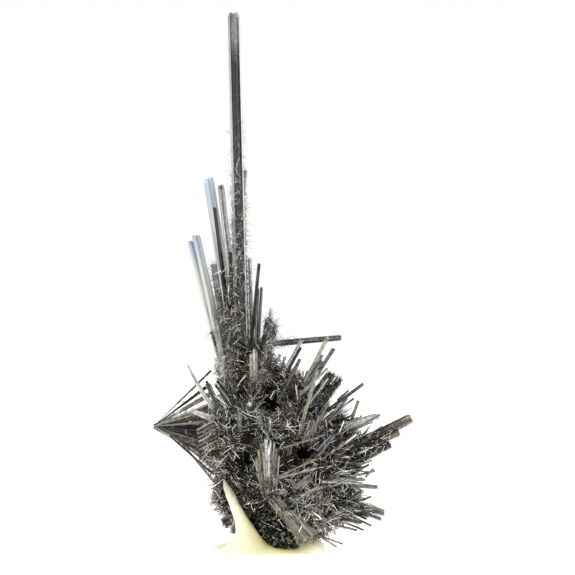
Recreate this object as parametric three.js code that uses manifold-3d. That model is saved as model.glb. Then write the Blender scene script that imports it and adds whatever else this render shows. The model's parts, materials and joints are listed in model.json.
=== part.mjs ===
// Stibnite specimen: metallic prisms rooted in a mass of matted needles, stood in a foot of soft putty.
// Millimetres, +Z up, seen from the front along +Y. The origin is the centre of the putty's flat underside.

import * as THREE from 'three';
import { mergeVertices } from 'three/addons/utils/BufferGeometryUtils.js';
import Module from 'manifold-3d';

const wasm = await Module();
wasm.setup();

// Driving dimensions
const ROOT_GAP = 0.3; // clearance left around a root, and between the mass and the putty
const PRISM_SIDES = 6; // stibnite prisms are modelled as flattened hexagons
const TIP_TAPER = 0.55; // width of a blunt tip, as a share of the prism's width
const TIP_LENGTH = 0.45; // length of the tapered end, in prism widths
const FAN_THICKNESS = 0.75; // depth of a fan's blade, as a share of its width
const LOBE_DETAIL = 2; // subdivision of the rounded lobes of the mass
const FOOT_SIDES = 28; // facets around the putty
const MERGE_DISTANCE = 1e-5; // corners closer than this are one corner

// Materials
const LEAD_GREY = { color: 0x8f9194, roughness: 0.32, metalness: 0.9 };
const DARK_STEEL = { color: 0x45464a, roughness: 0.4, metalness: 0.9 };
const BLUE_SILVER = { color: 0xb9c6da, roughness: 0.25, metalness: 0.9 };
const PALE_BEIGE = { color: 0xb8b49f, roughness: 0.5, metalness: 0.5 };
const MATTED_NEEDLES = { color: 0x4a4743, roughness: 0.6, metalness: 0.6 };
const CREAM_PUTTY = { color: 0xf2edc4, roughness: 0.6, metalness: 0 };

// Rounded lobes that make up the mass of needles, as centre and half sizes
const LOBES = [
  { at: [-4.5, 2, 38], half: [7, 7, 9.3] }, // crown, under the tall group
  { at: [3.5, 1.5, 34], half: [6.5, 6.5, 7] }, // shoulder, right of the crown
  { at: [-2, 0, 24.6], half: [13, 12, 11] }, // heart of the mass
  { at: [-7.2, 2, 15], half: [5.4, 5.2, 8.8] }, // left flank, behind the putty's horn
  { at: [11, 0.5, 22], half: [10, 11, 10] }, // right lobe, under the right spray
  { at: [5.5, 0, 13], half: [11.5, 10.5, 9] }, // lower lobe
  { at: [13.5, 0, 11], half: [7, 8, 5.5] }, // lower right lobe
  { at: [3.9, -2.6, 5.6], half: [6.6, 6.9, 4.7] }, // root that is pressed into the putty
];

// Putty: a low round pad, a horn smeared up the left flank and a lip on the right
const PAD = { across: 25.6, deep: 23, height: 1.5 };
const PAD_PROFILE = [[0, 0], [1, 0], [0.97, 0.35], [0.85, 0.75], [0.6, 1], [0, 1]]; // shares of PAD
// Radius and height up the horn, and then how far its axis leans to the side at each height
const HORN_PROFILE = [
  [0, 0], [6.4, 0], [4.4, 2.4], [2.6, 4.6], [1.9, 6.8],
  [1.6, 9], [1.3, 11.2], [1.1, 13.4], [0.5, 15.9], [0, 16.5],
];
const HORN_LEAN = [[0, -4.4], [4.6, -4.1], [6.8, -5.2], [9, -6.4], [11.2, -7.5], [13.4, -8.3], [16.5, -9.6]];
const HORN_DEPTH = -5.2; // how far the horn stands in front of the middle
const LIP = { at: [8.8, -2.5, 0], half: [4, 7, 2.4] };
const LIP_PROFILE = [[0, 0], [1, 0], [0.95, 0.4], [0.75, 0.8], [0.4, 1], [0, 1]]; // shares of LIP.half

// Prisms that stand alone: root and tip of the axis, then the width and depth of the section, and the finish
const PRISMS = {
  // The tall group
  blue_prism: prism([-5.6, 3.2, 33.5], [-13, 3.6, 82.7], 2.4, 1.8, BLUE_SILVER),
  short_blue_prism: prism([-7.5, 1, 33.2], [-11.8, 1.2, 63.6], 1.6, 1.1, BLUE_SILVER),
  thin_dark_prism: prism([-6.5, -1.7, 36], [-11.5, -1.6, 75.9], 0.9, 0.8, DARK_STEEL),
  wide_dark_prism: prism([-7.2, -3.6, 34.3], [-8.3, -3.9, 56], 2.5, 1.8, DARK_STEEL),
  striped_prism: prism([-5, 5.6, 34], [-10.3, 4.4, 81], 1.6, 1.2, LEAD_GREY),
  left_edge_prism: prism([-8, -2.3, 35], [-12.3, -2.3, 48.6], 0.6, 0.5, DARK_STEEL),
  light_grey_prism: prism([-2.9, 1.8, 34], [-3.8, 1.7, 64.7], 1, 0.8, LEAD_GREY),
  slim_dark_prism: prism([-4.3, -1.9, 37], [-1.7, -0.9, 63.6], 0.8, 0.7, DARK_STEEL),
  coated_stump: prism([-2.5, -2.4, 33], [1.3, -2.4, 51.7], 3.1, 2.2, DARK_STEEL),
  lilac_prism: prism([-0.6, 1.3, 36], [1, 1.3, 53.7], 1.1, 0.9, LEAD_GREY),
  level_prism: prism([-2.3, 3.4, 45.2], [16.8, 2.6, 46.9], 1.3, 1.2, LEAD_GREY),
  pale_blade: prism([-2.9, -4.6, 33], [-2.9, -6, 44.9], 1.7, 0.7, PALE_BEIGE),

  // The right spray
  spray_rough: prism([2.4, -3.6, 32.9], [7.4, -3, 42.7], 0.8, 0.7, DARK_STEEL),
  spray_long: prism([5.2, -1, 31.2], [13.6, -1, 47.6], 1, 0.8, LEAD_GREY),
  spray_lilac: prism([6.6, 0.8, 32.2], [12.1, 0.8, 43.6], 1.1, 0.9, LEAD_GREY),
  spray_dark: prism([6.7, 2.4, 32.1], [14.9, 2.4, 44.7], 0.9, 0.8, DARK_STEEL),
  spray_pale: prism([6.3, -2.2, 33.6], [13.5, -2.2, 40.5], 0.65, 0.6, LEAD_GREY),
  spray_front: prism([7, -8.2, 26], [11.2, -3.6, 40.3], 1.1, 0.8, LEAD_GREY),
  fuzzy_stump: prism([8.5, -1.6, 29.7], [15.6, -1.6, 39.2], 3.5, 2.4, DARK_STEEL),
  bright_sliver: prism([7.6, -4.7, 30.6], [13.5, -3.7, 38.4], 0.6, 0.5, LEAD_GREY),
  slant_dark: prism([10.3, 1.2, 28.6], [21.5, 1.2, 36.9], 0.8, 0.7, DARK_STEEL),
  slant_blade: prism([9.5, -8, 25.2], [19.8, -1.6, 35.4], 1.1, 0.8, LEAD_GREY),
  short_grey: prism([16.8, -1.6, 24], [20.2, -1.6, 33.4], 0.85, 0.7, LEAD_GREY),
  fuzzy_stub: prism([15.6, -3.4, 18], [27.1, -3.4, 23.8], 2.1, 1.5, DARK_STEEL),

  // The lower right
  cross_prism: prism([11.2, -9.4, 16.4], [23.8, -3, 15.4], 1.3, 1, PALE_BEIGE),
  lower_pale_prism: prism([16, -0.6, 14.8], [24.6, -1, 14], 1.2, 1, PALE_BEIGE),
  lower_fuzzy_prism: prism([15, -1.2, 11.4], [26, -1.4, 7.5], 2.2, 1.6, DARK_STEEL),
  lower_short_prism: prism([13.5, -2.8, 6.2], [20, -3.2, 4.7], 1, 0.9, PALE_BEIGE),

  // The front
  beige_prism: prism([5, -8.4, 13.4], [10.8, -10.8, 18], 1.3, 0.9, PALE_BEIGE),
  thick_beige_prism: prism([5.4, -7.8, 11.2], [12.2, -10, 15], 1.3, 0.9, PALE_BEIGE),
  violet_prism: prism([10.6, -9.2, 21.6], [15.4, -11.2, 27.4], 1.4, 0.9, LEAD_GREY),
  brown_blade: prism([8.6, -8.4, 24], [10.9, -10, 30.8], 2, 0.6, PALE_BEIGE),
  olive_prism: prism([-6, -8, 26.6], [-5.8, -12, 31.4], 1.1, 0.9, PALE_BEIGE),
  olive_band: prism([1.1, -9.5, 12.9], [8.6, -7.4, 2.9], 2.8, 0.8, PALE_BEIGE),
  lilac_end_prism: prism([-4, -7, 29], [-3.7, -12, 33.2], 1, 0.9, LEAD_GREY),

  // The left side
  curved_blade: prism([-10.2, -2.5, 29.7], [-17.8, -2.5, 41.8], 1.5, 0.5, PALE_BEIGE),
  striped_stub: prism([-9.6, -3.4, 29.1], [-13.9, -3.6, 39.2], 1.2, 0.9, LEAD_GREY),
  line_stub: prism([-6.8, -5.6, 31.5], [-12.2, -6.2, 38.7], 1.2, 0.7, LEAD_GREY),
  pink_blade: prism([-10.6, -4.6, 28.8], [-16.7, -4.2, 31.2], 1.8, 0.6, PALE_BEIGE),
  hanging_prism: prism([-5, 0.4, 8.3], [-10.3, 0.2, 5.7], 2, 1.5, DARK_STEEL),
  hanging_stub: prism([-5.6, -2, 12.5], [-7.6, -2, 3.9], 1.5, 1.2, DARK_STEEL),

  // The hidden back
  back_long_prism: prism([1.5, 8, 24], [4, 21, 30], 1.8, 1.4, LEAD_GREY),
  back_broad_prism: prism([-4, 7, 27], [-7, 19, 33], 2.2, 1.5, DARK_STEEL),
  back_upper_prism: prism([-2, 5.5, 36], [0, 15, 41], 1.3, 1, BLUE_SILVER),
  back_lower_prism: prism([1, 8, 17], [-3, 18.5, 14], 1.8, 1.3, DARK_STEEL),
  back_right_prism: prism([10, 7.5, 23], [13.5, 18.5, 27], 1.4, 1, LEAD_GREY),
  back_left_prism: prism([-7, 6.5, 22], [-10.5, 15, 23], 1.2, 1, LEAD_GREY),
  back_slim_prism: prism([10, 7, 14], [14, 16.5, 12.5], 1, 0.8, LEAD_GREY),
};

// Prisms that grew into each other: each node is one solid, joined from its members
const JOINED = {
  tall_prism: {
    finish: DARK_STEEL,
    members: [
      prism([-5.1, 0.5, 30], [-7.4, 1.5, 118.6], 3, 2.3),
      prism([-5.9, 0.6, 71], [-4.7, 0.8, 83.8], 0.9, 0.8),
    ],
  },
  left_pair: {
    finish: BLUE_SILVER,
    members: [
      prism([-8.4, -0.7, 34], [-15.6, -0.8, 69.7], 1.85, 1.3),
      prism([-9.3, -0.5, 34.5], [-16.9, -0.5, 68.4], 1.4, 1.1),
    ],
  },
  slim_pair: {
    finish: LEAD_GREY,
    members: [
      prism([-2.8, 0.2, 38], [-2, 0.2, 57.9], 0.7, 0.6),
      prism([-2.3, 0.2, 38], [-1.2, 0.2, 58.1], 0.7, 0.6),
    ],
  },
  spray_twin: {
    finish: LEAD_GREY,
    members: [
      prism([0.6, -1, 33.6], [7.7, -0.6, 46.6], 0.9, 0.7),
      prism([1, -1.3, 33.2], [7.5, -1.2, 44.9], 0.65, 0.6),
    ],
  },
  white_blade: {
    finish: PALE_BEIGE,
    members: [
      prism([14.5, -4.6, 26.8], [24.7, -4.6, 30], 2.2, 0.5),
      prism([14.5, -4.8, 24.5], [24.9, -4.8, 30.3], 0.5, 0.6),
    ],
  },
  right_long_prism: {
    finish: DARK_STEEL,
    members: [
      prism([15.7, -1, 21.4], [31.8, -1, 29.3], 1.9, 1.5),
      prism([16.5, -1, 21.1], [29.2, -1, 26.1], 1.3, 1.1),
    ],
  },
  low_twin: {
    finish: LEAD_GREY,
    members: [
      prism([11.5, -7.2, 6.6], [19.8, -5.6, 11.2], 1, 0.8),
      prism([11.7, -7.2, 6.8], [20.7, -5, 13.4], 0.9, 0.8),
    ],
  },
  yellow_fork: {
    finish: PALE_BEIGE,
    members: [
      prism([1.4, -9.4, 16.5], [10.8, -11, 21.1], 0.6, 0.5),
      prism([1.4, -9.4, 16.4], [10.6, -11, 18.9], 0.7, 0.5),
    ],
  },
  front_triplet: {
    finish: LEAD_GREY,
    members: [
      prism([0.2, -9.6, 13.5], [0.1, -12.8, 25.6], 1.6, 1),
      prism([-0.4, -9.6, 13.8], [-1.7, -12.4, 24.6], 0.9, 0.8),
      prism([0.5, -9.6, 13.8], [2, -12.4, 24.6], 0.7, 0.7),
    ],
  },
  left_fan: {
    finish: LEAD_GREY,
    members: fanBlades([-24.9, -1.4, 27.5], [
      { end: [-12.4, 0.9, 39.6], width: 0.55 },
      { end: [-13.4, 0.2, 36], width: 0.85 },
      { end: [-12.4, -0.8, 34.6], width: 1 },
      { end: [-12.4, -1.6, 31.4], width: 1.3 },
      { end: [-12.2, -1.4, 28.6], width: 0.9 },
      { end: [-12.2, -1, 26.2], width: 0.7 },
      { end: [-12.2, -1, 23.4], width: 0.7 },
      { end: [-12.2, -1.4, 19.8], width: 0.9 },
    ]).concat([prism([-19, -1.3, 24.1], [-11.6, -0.9, 15.1], 0.6, 0.6)]),
  },
};

function prism(root, tip, width, depth, finish) {
  return { root, tip, width, depth, finish };
}

// A fan's blades all meet at one apex, each a little thinner than it is wide
function fanBlades(apex, ends) {
  return ends.map(({ end, width }) => prism(end, apex, width, width * FAN_THICKNESS));
}

// Closed three.js geometry to solid, and back to geometry
function solidOf(geometry) {
  const bare = geometry.clone();
  bare.deleteAttribute('normal');
  bare.deleteAttribute('uv');
  const merged = mergeVertices(bare, MERGE_DISTANCE);
  const vertProperties = new Float32Array(merged.attributes.position.array);
  const triVerts = new Uint32Array(dropEmptyTriangles(merged.index.array));
  return new wasm.Manifold(new wasm.Mesh({ numProp: 3, vertProperties, triVerts }));
}

// Triangles at a lathe's axis have two corners in one place, so they are left out
function dropEmptyTriangles(index) {
  const kept = [];
  for (let i = 0; i < index.length; i += 3) {
    const [a, b, c] = [index[i], index[i + 1], index[i + 2]];
    if (a !== b && b !== c && c !== a) kept.push(a, b, c);
  }
  return kept;
}

function geometryOf(solid) {
  const mesh = solid.getMesh();
  const geometry = new THREE.BufferGeometry();
  geometry.setAttribute('position', new THREE.BufferAttribute(new Float32Array(mesh.vertProperties), 3));
  geometry.setIndex(new THREE.BufferAttribute(new Uint32Array(mesh.triVerts), 1));
  geometry.computeVertexNormals();
  return geometry;
}

// A flattened six-sided prism from root to tip, with a blunt tapered end.
// Its broad faces look to the front and back. grow widens it all round, for a socket.
function prismSolid({ root, tip, width, depth }, grow = 0) {
  const axis = new THREE.Vector3(...tip).sub(new THREE.Vector3(...root));
  const length = axis.length() + 2 * grow;
  axis.normalize();
  const taper = Math.min(TIP_LENGTH * width, length / 3);
  const profile = [[0, 0], [1, 0], [1, length - taper], [TIP_TAPER, length], [0, length]];
  const points = profile.map(([r, h]) => new THREE.Vector2(r, h));
  const geometry = new THREE.LatheGeometry(points, PRISM_SIDES, Math.PI / 2);
  geometry.rotateX(Math.PI / 2);
  const flatHalf = Math.cos(Math.PI / PRISM_SIDES);
  geometry.scale(width / 2 + grow, (depth / 2 + grow) / flatHalf, 1);

  const across = new THREE.Vector3(0, 1, 0).cross(axis).normalize();
  const through = axis.clone().cross(across);
  const place = new THREE.Matrix4().makeBasis(across, through, axis);
  place.setPosition(new THREE.Vector3(...root).addScaledVector(axis, -grow));
  geometry.applyMatrix4(place);
  return solidOf(geometry);
}

function joined(solids) {
  return solids.reduce((whole, next) => whole.add(next));
}

// The mass of needles: its lobes joined, grown all round when it is used to hollow the putty
function massSolid(grow = 0) {
  return joined(LOBES.map(({ at, half }) => {
    const geometry = new THREE.IcosahedronGeometry(1, LOBE_DETAIL);
    geometry.scale(...half.map((h) => h + grow));
    geometry.translate(...at);
    return solidOf(geometry);
  }));
}

// Value at height z of a curve given as [z, value] points, straight between them
function along(points, z) {
  const next = points.findIndex(([height]) => height >= z);
  if (next <= 0) return next === 0 ? points[0][1] : points[points.length - 1][1];
  const [z0, v0] = points[next - 1];
  const [z1, v1] = points[next];
  return v0 + ((v1 - v0) * (z - z0)) / (z1 - z0);
}

// A profile of [radius, height] points turned about the vertical axis
function latheUp(profile) {
  const geometry = new THREE.LatheGeometry(profile.map(([r, h]) => new THREE.Vector2(r, h)), FOOT_SIDES);
  geometry.rotateX(Math.PI / 2);
  return geometry;
}

function puttySolid() {
  const pad = latheUp(PAD_PROFILE);
  pad.scale(PAD.across / 2, PAD.deep / 2, PAD.height);

  const horn = latheUp(HORN_PROFILE);
  const spots = horn.attributes.position;
  for (let i = 0; i < spots.count; i += 1) {
    spots.setX(i, spots.getX(i) + along(HORN_LEAN, spots.getZ(i)));
  }
  horn.translate(0, HORN_DEPTH, 0);

  const lip = latheUp(LIP_PROFILE);
  lip.scale(...LIP.half);
  lip.translate(...LIP.at);
  return joined([pad, horn, lip].map(solidOf));
}

// Members of every crystal node, so that sockets can be cut for all of them
const crystals = new Map();
for (const [name, prism] of Object.entries(PRISMS)) {
  crystals.set(name, { finish: prism.finish, members: [prism] });
}
for (const [name, group] of Object.entries(JOINED)) {
  crystals.set(name, group);
}

const allMembers = [...crystals.values()].flatMap(({ members }) => members);
const sockets = joined(allMembers.map((member) => prismSolid(member, ROOT_GAP)));

const specimen = new THREE.Group();

function addPiece(name, solid, finish) {
  const mesh = new THREE.Mesh(geometryOf(solid), new THREE.MeshStandardMaterial(finish));
  mesh.name = name;
  specimen.add(mesh);
}

for (const [name, { members, finish }] of crystals) {
  addPiece(name, joined(members.map((member) => prismSolid(member))), finish);
}
addPiece('needle_mass', massSolid().subtract(sockets), MATTED_NEEDLES);
addPiece('putty_foot', puttySolid().subtract(massSolid(ROOT_GAP)).subtract(sockets), CREAM_PUTTY);

export default specimen;
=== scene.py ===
# %% [markdown]
# # A stibnite specimen on a foot of putty
# Stibnite grows as long grey metallic prisms with fine grooves along them. Here dozens of them stand out of
# a felt of hair-thin needles, and a pinch of pale putty holds it all upright.
# The solid model is loaded first. It says where every crystal sits, and each finished piece takes the
# place of its solid.

# %% Load the solid model
import json
import math

import bmesh
import bpy
import numpy as np
from mathutils import Matrix, Vector


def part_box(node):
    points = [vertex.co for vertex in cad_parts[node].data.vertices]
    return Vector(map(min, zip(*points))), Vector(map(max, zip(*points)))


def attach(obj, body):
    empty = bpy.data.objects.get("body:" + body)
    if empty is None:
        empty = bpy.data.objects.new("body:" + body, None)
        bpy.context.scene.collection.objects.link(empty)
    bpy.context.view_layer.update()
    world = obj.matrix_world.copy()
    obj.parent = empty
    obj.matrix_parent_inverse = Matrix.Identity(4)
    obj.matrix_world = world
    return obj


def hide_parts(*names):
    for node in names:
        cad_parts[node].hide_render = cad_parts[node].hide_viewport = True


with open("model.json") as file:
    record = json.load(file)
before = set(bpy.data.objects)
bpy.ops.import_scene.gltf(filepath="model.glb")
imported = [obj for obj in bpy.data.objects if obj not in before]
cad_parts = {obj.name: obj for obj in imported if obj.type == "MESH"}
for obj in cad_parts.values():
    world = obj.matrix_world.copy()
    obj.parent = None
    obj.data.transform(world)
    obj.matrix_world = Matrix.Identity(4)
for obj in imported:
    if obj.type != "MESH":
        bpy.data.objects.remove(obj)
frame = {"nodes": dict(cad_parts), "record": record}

MM = 0.001
scene = bpy.context.scene
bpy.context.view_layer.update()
print("solid model:", len(frame["nodes"]), "nodes")

# %% [markdown]
# ## The camera
# The photo looks at the specimen from the front and a little from above, from far away with a long lens.
# A long lens keeps upright prisms upright, so the distance is set first and the lens follows from it.

# %% Camera
PHOTO_PIXELS = 575
MM_PER_PIXEL = 0.22
CAMERA_DISTANCE = 1.0
CAMERA_RISE = math.radians(2)
AIM = Vector((4.51, 0, 58)) * MM


def aimed(name, data, place):
    """A lamp or a camera that stands at a place and looks at the middle of the specimen."""
    tool = bpy.data.objects.new(name, data)
    tool.location = place
    tool.rotation_euler = (AIM - tool.location).to_track_quat("-Z", "Y").to_euler()
    scene.collection.objects.link(tool)
    return tool


lens = bpy.data.cameras.new("camera")
lens.sensor_width = 36
lens.lens = lens.sensor_width * CAMERA_DISTANCE / (PHOTO_PIXELS * MM_PER_PIXEL * MM)
backwards = Vector((0, -math.cos(CAMERA_RISE), math.sin(CAMERA_RISE)))
scene.camera = aimed("camera", lens, AIM + CAMERA_DISTANCE * backwards)
print("camera: lens of", round(lens.lens), "mm")

# %% [markdown]
# ## Node trees written as sums
# Finishes and growth rules are both node trees, and clicking them together by hand is slow.
# A wire stands for one node output. Adding or multiplying wires adds a Math node, so a rule reads like
# a sum. A bench holds one tree, and its one method for any node also sets and links the node's sockets.


# %% Wires
class Wire:
    """One output of a node, which takes part in sums like a number."""

    def __init__(self, bench, socket):
        self.bench = bench
        self.socket = socket

    def __add__(self, other):
        return self.bench.maths("ADD", self, other)

    def __radd__(self, other):
        return self.bench.maths("ADD", other, self)

    def __sub__(self, other):
        return self.bench.maths("SUBTRACT", self, other)

    def __rsub__(self, other):
        return self.bench.maths("SUBTRACT", other, self)

    def __mul__(self, other):
        return self.bench.maths("MULTIPLY", self, other)

    def __rmul__(self, other):
        return self.bench.maths("MULTIPLY", other, self)

    def __truediv__(self, other):
        return self.bench.maths("DIVIDE", self, other)

    def __rtruediv__(self, other):
        return self.bench.maths("DIVIDE", other, self)

    def __gt__(self, other):
        return self.bench.maths("GREATER_THAN", self, other)


# %% Benches
class Bench:
    """A node tree, with one method that adds any node."""

    def __init__(self, tree):
        self.tree = tree
        tree.nodes.clear()

    def pick(self, sockets, key):
        usable = [socket for socket in sockets if socket.enabled]
        if isinstance(key, int):
            return usable[key]
        return next(socket for socket in usable if socket.name == key)

    def node(self, kind, settings=None, sockets=None, output=0):
        made = self.tree.nodes.new(kind)
        for name, value in (settings or {}).items():
            setattr(made, name, value)
        for key, value in (sockets or {}).items():
            socket = self.pick(made.inputs, key)
            if isinstance(value, Wire):
                self.tree.links.new(value.socket, socket)
            else:
                socket.default_value = value
        if not made.outputs:
            return None
        return Wire(self, self.pick(made.outputs, output))

    def maths(self, operation, *values):
        return self.node("ShaderNodeMath", {"operation": operation}, dict(enumerate(values)))

    def vector(self, operation, *values):
        return self.node("ShaderNodeVectorMath", {"operation": operation}, dict(enumerate(values)))

    def measure(self, operation, *values):
        """A vector sum that gives one number: a length, a distance or a dot product."""
        return self.node("ShaderNodeVectorMath", {"operation": operation}, dict(enumerate(values)), "Value")

    def combine(self, x=0.0, y=0.0, z=0.0):
        return self.node("ShaderNodeCombineXYZ", None, {"X": x, "Y": y, "Z": z})

    def parts(self, place):
        """The three numbers of a vector, one wire each."""
        split = self.node("ShaderNodeSeparateXYZ", None, {"Vector": place})
        return [Wire(self, socket) for socket in split.socket.node.outputs]

    def between(self, value, low, high):
        """How far a value has come from low to high, from 0 to 1 with soft ends."""
        sockets = {"Value": value, "From Min": low, "From Max": high}
        return self.node("ShaderNodeMapRange", {"interpolation_type": "SMOOTHSTEP"}, sockets)

    def blend(self, share, first, second):
        """A colour part of the way from the first to the second."""
        sockets = {"Factor": share, "A": first, "B": second}
        return self.node("ShaderNodeMix", {"data_type": "RGBA"}, sockets)

    def noise(self, place, scale, detail=2.0):
        return self.node("ShaderNodeTexNoise", None, {"Vector": place, "Scale": scale, "Detail": detail})

    def attribute(self, name, output):
        """What a growth rule stored on the mesh, for a finish to read."""
        return self.node("ShaderNodeAttribute", {"attribute_name": name}, None, output)

    def on_specimen(self):
        """Where a point of the surface is on the specimen, for a finish to read."""
        return self.node("ShaderNodeTexCoord", output="Object")


# %% Colours
def srgb(red, green, blue):
    """A colour as it looks on screen, 0 to 255, as the linear values that nodes work in."""
    shares = [value / 255 for value in (red, green, blue)]
    linear = [s / 12.92 if s <= 0.04045 else ((s + 0.055) / 1.055) ** 2.4 for s in shares]
    return (*linear, 1.0)


def grey(level):
    return (level, level, level, 1.0)


print("middle grey on screen is", round(srgb(128, 128, 128)[0], 3), "in nodes")

# %% [markdown]
# ## The white room
# The specimen stands on a white table in a white room, but the side where the camera stands is dark.
# Metal shows its surroundings: faces turned to the camera go dark, and faces turned aside go bright.
# Walls could be built for this, but a world shader that only depends on the direction does the same.

# %% World
ROOM_WHITE = grey(1.0)
ROOM_DARK = grey(0.035)
DARK_SIDE = Vector((-0.10, -1.0, 0.05)).normalized()
DARK_STARTS, DARK_FULL = 0.20, 0.80

world = bpy.data.worlds.new("white_room")
scene.world = world
world.use_nodes = True
room = Bench(world.node_tree)
towards_dark = room.measure("DOT_PRODUCT", room.node("ShaderNodeTexCoord", output="Generated"), DARK_SIDE)
room_colour = room.blend(room.between(towards_dark, DARK_STARTS, DARK_FULL), ROOM_WHITE, ROOM_DARK)
background = room.node("ShaderNodeBackground", None, {"Color": room_colour, "Strength": 1.0})
room.node("ShaderNodeOutputWorld", None, {"Surface": background})
scene.view_settings.view_transform = "Standard"
print("room: dark from", round(math.degrees(math.acos(DARK_FULL))), "degrees off the camera side inwards")

# %% [markdown]
# ## Lamps
# A large soft box at the front left gives the bright strips on the prisms and lights the putty.
# A weaker one at the right lifts the other flanks, and one above fills the top of the felt.
# Area lamps are used because a small lamp would make hard sparks on so many thin crystals.


# %% Soft boxes
def soft_box(name, place, width, watts):
    lamp = bpy.data.lights.new(name, "AREA")
    lamp.shape = "SQUARE"
    lamp.size = width
    lamp.energy = watts
    aimed(name, lamp, Vector(place))
    print(name + ":", watts, "W")


soft_box("left_soft_box", place=(-0.95, -0.70, 0.45), width=0.60, watts=3.6)
soft_box("right_soft_box", place=(1.00, -0.60, 0.30), width=0.50, watts=1.8)
soft_box("top_soft_box", place=(-0.10, -0.45, 1.00), width=0.60, watts=3.0)

# %% [markdown]
# ## The table
# A plain pale disc, so bright that it runs into the white room behind it. White paint alone would stay grey
# in the specimen's own shadow, so the disc also glows a little. It is stage, not a piece of the specimen.


# %% Materials and the table
def new_material(name):
    material = bpy.data.materials.new(name)
    material.use_nodes = True
    return material, Bench(material.node_tree)


def close_material(bench, sockets):
    shader = bench.node("ShaderNodeBsdfPrincipled", None, sockets)
    bench.node("ShaderNodeOutputMaterial", None, {"Surface": shader})


def make_object(name, mesh):
    piece = bpy.data.objects.new(name, mesh)
    scene.collection.objects.link(piece)
    return piece


TABLE_RADIUS = 0.9
TABLE_SIDES = 96

table_mesh = bpy.data.meshes.new("table")
turns = [math.tau * i / TABLE_SIDES for i in range(TABLE_SIDES)]
rim = [(TABLE_RADIUS * math.cos(turn), TABLE_RADIUS * math.sin(turn), 0) for turn in turns]
table_mesh.from_pydata(rim, [], [list(range(TABLE_SIDES))])
table_material, bench = new_material("white_table")
close_material(bench, {
    "Base Color": grey(0.93),
    "Roughness": 0.9,
    "Emission Color": grey(1.0),
    "Emission Strength": 0.55,
})
table_mesh.materials.append(table_material)
make_object("table", table_mesh)
print("table:", 2 * TABLE_RADIUS, "m across")

# %% [markdown]
# ## The finish of a crystal
# A stibnite prism is metal-bright, with streaks along it where laths of the crystal lie side by side.
# Some prisms are dark steel, some lead grey, and some have a blue film at the tip or a dull beige crust.
# A painted picture for each prism would be slow and blurred, so one rule makes all five finishes.
# It reads what the growth rule stores on the mesh: the place around and along the prism, the tone of each
# lath, the prism's own tint and the tint of its tip.

# %% Crystal finish
FILM_STARTS, FILM_ENDS = 0.35, 1.0
FILM_RAGGED = 0.7
STREAKS_AROUND = 26.0
STREAKS_ALONG = 2.5
LATH_SHARE, STREAK_SHARE = 0.55, 0.75
DARK_STREAK, BRIGHT_STREAK = 0.28, 0.85
PATCHES = 260.0
SPECKS = 1300.0
SPECK_DIRTY, SPECK_CLEAN = 0.40, 0.56
STAIN_STARTS, STAIN_FULL = 0.60, 0.72
STAIN = srgb(150, 138, 96)
STAIN_ROUGHER = 0.3


def crystal_finish(name, darkest, metal, smooth, rough, crust, dirt, haze=0.0):
    material, bench = new_material(name)
    around, share, from_tip = bench.parts(bench.attribute("grain", "Vector"))
    tone = bench.attribute("tone", "Fac")
    streak = bench.noise(bench.combine(around * STREAKS_AROUND, share * STREAKS_ALONG, tone), 1.0, 3.0)
    place = bench.on_specimen()
    patch = bench.noise(place, PATCHES, 3.0)
    speck = bench.noise(place, SPECKS, 4.0)
    film = 1.0 - bench.between(from_tip + FILM_RAGGED * (patch - 0.5), FILM_STARTS, FILM_ENDS)
    body = bench.blend(film, bench.attribute("tint", "Color"), bench.attribute("tip_tint", "Color"))
    bright = bench.between(LATH_SHARE * tone + STREAK_SHARE * streak, DARK_STREAK, BRIGHT_STREAK)
    clean = 1.0 - dirt * (1.0 - bench.between(speck, SPECK_DIRTY, SPECK_CLEAN))
    shaded = bench.vector("SCALE", body, (darkest + (1.0 - darkest) * bright) * clean)
    stain = bench.between(patch, STAIN_STARTS, STAIN_FULL) * crust
    close_material(bench, {
        "Base Color": bench.blend(stain, shaded, STAIN),
        "Metallic": metal * (1.0 - stain) * (1.0 - haze * film),
        "Roughness": smooth + (rough - smooth) * streak + STAIN_ROUGHER * stain,
    })
    return material


FINISH_VALUES = {
    "lead_grey": dict(darkest=0.35, metal=0.8, smooth=0.08, rough=0.34, crust=0.2, dirt=0.2, haze=0.3),
    "dark_steel": dict(darkest=0.25, metal=1.0, smooth=0.08, rough=0.32, crust=0.15, dirt=0.2, haze=0.4),
    "blue_silver": dict(darkest=0.60, metal=0.35, smooth=0.12, rough=0.35, crust=0.1, dirt=0.0),
    "pale_beige": dict(darkest=0.55, metal=0.4, smooth=0.20, rough=0.50, crust=0.3, dirt=0.4),
    "dull_grey": dict(darkest=0.30, metal=0.55, smooth=0.22, rough=0.45, crust=0.2, dirt=0.5),
}
finishes = {name: crystal_finish(name, **values) for name, values in FINISH_VALUES.items()}
print("finishes:", ", ".join(finishes))

# %% [markdown]
# ## A rule that grows one striated prism
# Every crystal here is the same idea: a flattened six-sided prism, grooved along its length, with a stepped
# tip. It could be modelled once and copied, but then all copies would have the same grooves.
# So it is a Geometry Nodes tree with named inputs: a cylinder whose corners are pushed in by a random
# amount, the same all the way along, and whose end is cut back lath by lath.


# %% Trees that grow shapes
def geometry_tree(name, inputs):
    """An empty geometry tree with inputs named by kind. Gives the tree, its bench and a wire for each."""
    tree = bpy.data.node_groups.new(name, "GeometryNodeTree")
    tree.interface.new_socket("Geometry", in_out="INPUT", socket_type="NodeSocketGeometry")
    for kind, labels in inputs.items():
        for label in labels:
            tree.interface.new_socket(label, in_out="INPUT", socket_type="NodeSocket" + kind)
    tree.interface.new_socket("Geometry", in_out="OUTPUT", socket_type="NodeSocketGeometry")
    bench = Bench(tree)
    entry = tree.nodes.new("NodeGroupInput")
    given = {socket.name: Wire(bench, socket) for socket in entry.outputs if socket.name}
    return tree, bench, given


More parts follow.
